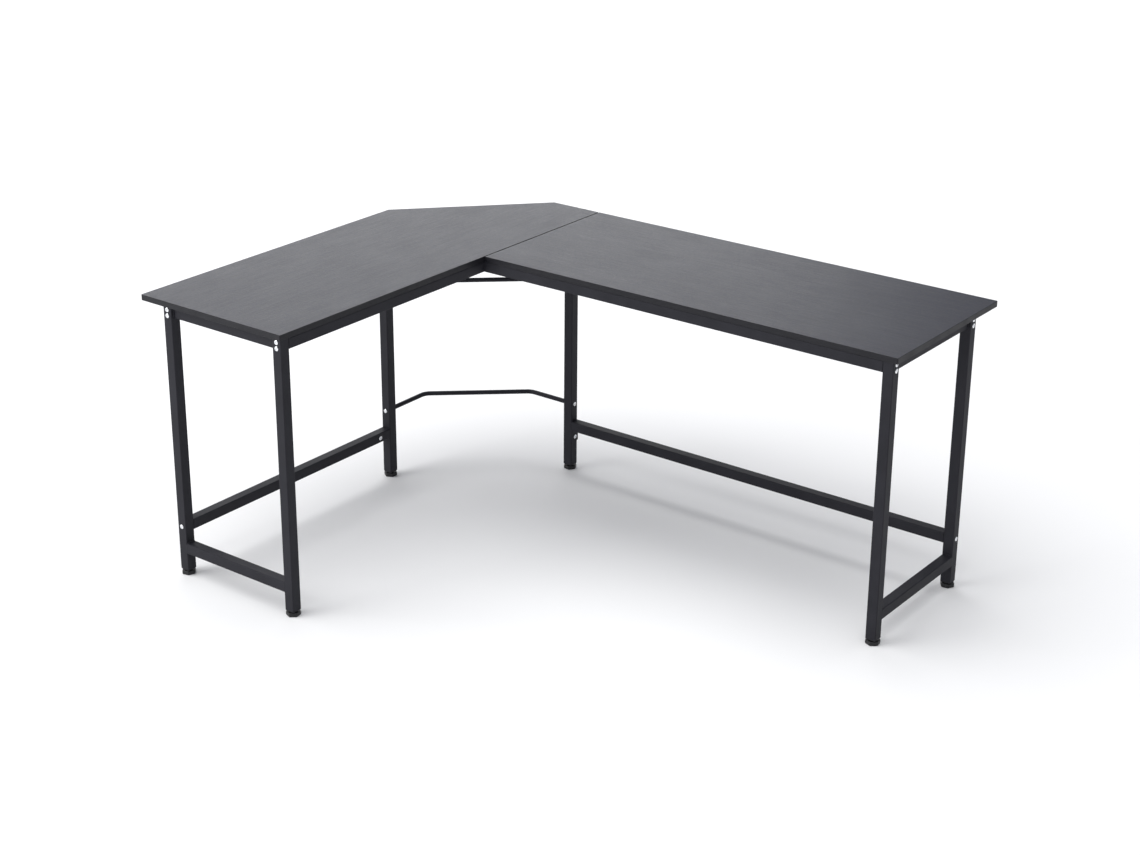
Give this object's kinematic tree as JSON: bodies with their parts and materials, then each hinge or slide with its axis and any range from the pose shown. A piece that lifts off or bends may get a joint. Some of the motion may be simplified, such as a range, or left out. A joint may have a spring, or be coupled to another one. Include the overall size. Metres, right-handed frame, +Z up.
{
  "type": "corner desk",
  "caption": "L-shaped corner desk: two butted boards, one with a cut rear corner, on a bolted square-tube frame with bent corner braces and levelling glides.",
  "frame": {"origin": "on the floor, in the middle of the desk's outline", "axes": "+X along the long right wing, +Y to the back of the desk, +Z up"},
  "size_m": [1.68, 1.2519, 0.74],
  "materials": {
    "coated_board": "matte black melamine on chipboard",
    "edge_band": "satin black banding",
    "powder_coated_steel": "fine black powder coat",
    "zinc_steel": "bright zinc plate",
    "moulded_plastic": "moulded black"
  },
  "bodies": {
    "desk": {"left_desktop": "coated_board", "right_desktop": "coated_board", "left_edge_band": "edge_band", "right_edge_band": "edge_band", "left_end_top_rail": "powder_coated_steel", "right_end_top_rail": "powder_coated_steel", "left_end_foot_rail": "powder_coated_steel", "right_end_foot_rail": "powder_coated_steel", "left_front_apron": "powder_coated_steel", "left_rear_apron": "powder_coated_steel", "right_front_apron": "powder_coated_steel", "right_rear_apron": "powder_coated_steel", "left_stretcher": "powder_coated_steel", "right_stretcher": "powder_coated_steel", "lower_corner_brace": "powder_coated_steel", "upper_corner_brace": "powder_coated_steel", "apron_nut_plates": "zinc_steel", "single_nut_plates": "zinc_steel", "stretcher_tongue": "powder_coated_steel", "stretcher_tab": "powder_coated_steel", "tab_rivet_nut": "zinc_steel", "apron_bolts": "zinc_steel", "tee_joint_bolts": "zinc_steel", "stretcher_bolts": "zinc_steel", "brace_bolts": "zinc_steel", "stretcher_screws": "zinc_steel", "left_board_screws": "zinc_steel", "right_board_screws": "zinc_steel", "insert_nuts": "zinc_steel", "left_end_rear_leg": "powder_coated_steel", "left_end_rear_insert": "moulded_plastic", "left_end_front_leg": "powder_coated_steel", "left_end_front_insert": "moulded_plastic", "corner_left_leg": "powder_coated_steel", "corner_left_insert": "moulded_plastic", "corner_right_leg": "powder_coated_steel", "corner_right_insert": "moulded_plastic", "right_end_front_leg": "powder_coated_steel", "right_end_front_insert": "moulded_plastic", "right_end_rear_leg": "powder_coated_steel", "right_end_rear_insert": "moulded_plastic"},
    "left_end_rear_glide": {"left_end_rear_glide_pad": "moulded_plastic", "left_end_rear_glide_stem": "zinc_steel"},
    "left_end_front_glide": {"left_end_front_glide_pad": "moulded_plastic", "left_end_front_glide_stem": "zinc_steel"},
    "corner_left_glide": {"corner_left_glide_pad": "moulded_plastic", "corner_left_glide_stem": "zinc_steel"},
    "corner_right_glide": {"corner_right_glide_pad": "moulded_plastic", "corner_right_glide_stem": "zinc_steel"},
    "right_end_front_glide": {"right_end_front_glide_pad": "moulded_plastic", "right_end_front_glide_stem": "zinc_steel"},
    "right_end_rear_glide": {"right_end_rear_glide_pad": "moulded_plastic", "right_end_rear_glide_stem": "zinc_steel"}
  },
  "joints": [
    {"name": "left_end_rear_glide_travel", "type": "slide", "parent": "desk", "child": "left_end_rear_glide", "axis": [0, 0, -1], "range_m": [0, 0.012]},
    {"name": "left_end_front_glide_travel", "type": "slide", "parent": "desk", "child": "left_end_front_glide", "axis": [0, 0, -1], "range_m": [0, 0.012]},
    {"name": "corner_left_glide_travel", "type": "slide", "parent": "desk", "child": "corner_left_glide", "axis": [0, 0, -1], "range_m": [0, 0.012]},
    {"name": "corner_right_glide_travel", "type": "slide", "parent": "desk", "child": "corner_right_glide", "axis": [0, 0, -1], "range_m": [0, 0.012]},
    {"name": "right_end_front_glide_travel", "type": "slide", "parent": "desk", "child": "right_end_front_glide", "axis": [0, 0, -1], "range_m": [0, 0.012]},
    {"name": "right_end_rear_glide_travel", "type": "slide", "parent": "desk", "child": "right_end_rear_glide", "axis": [0, 0, -1], "range_m": [0, 0.012]}
  ]
}
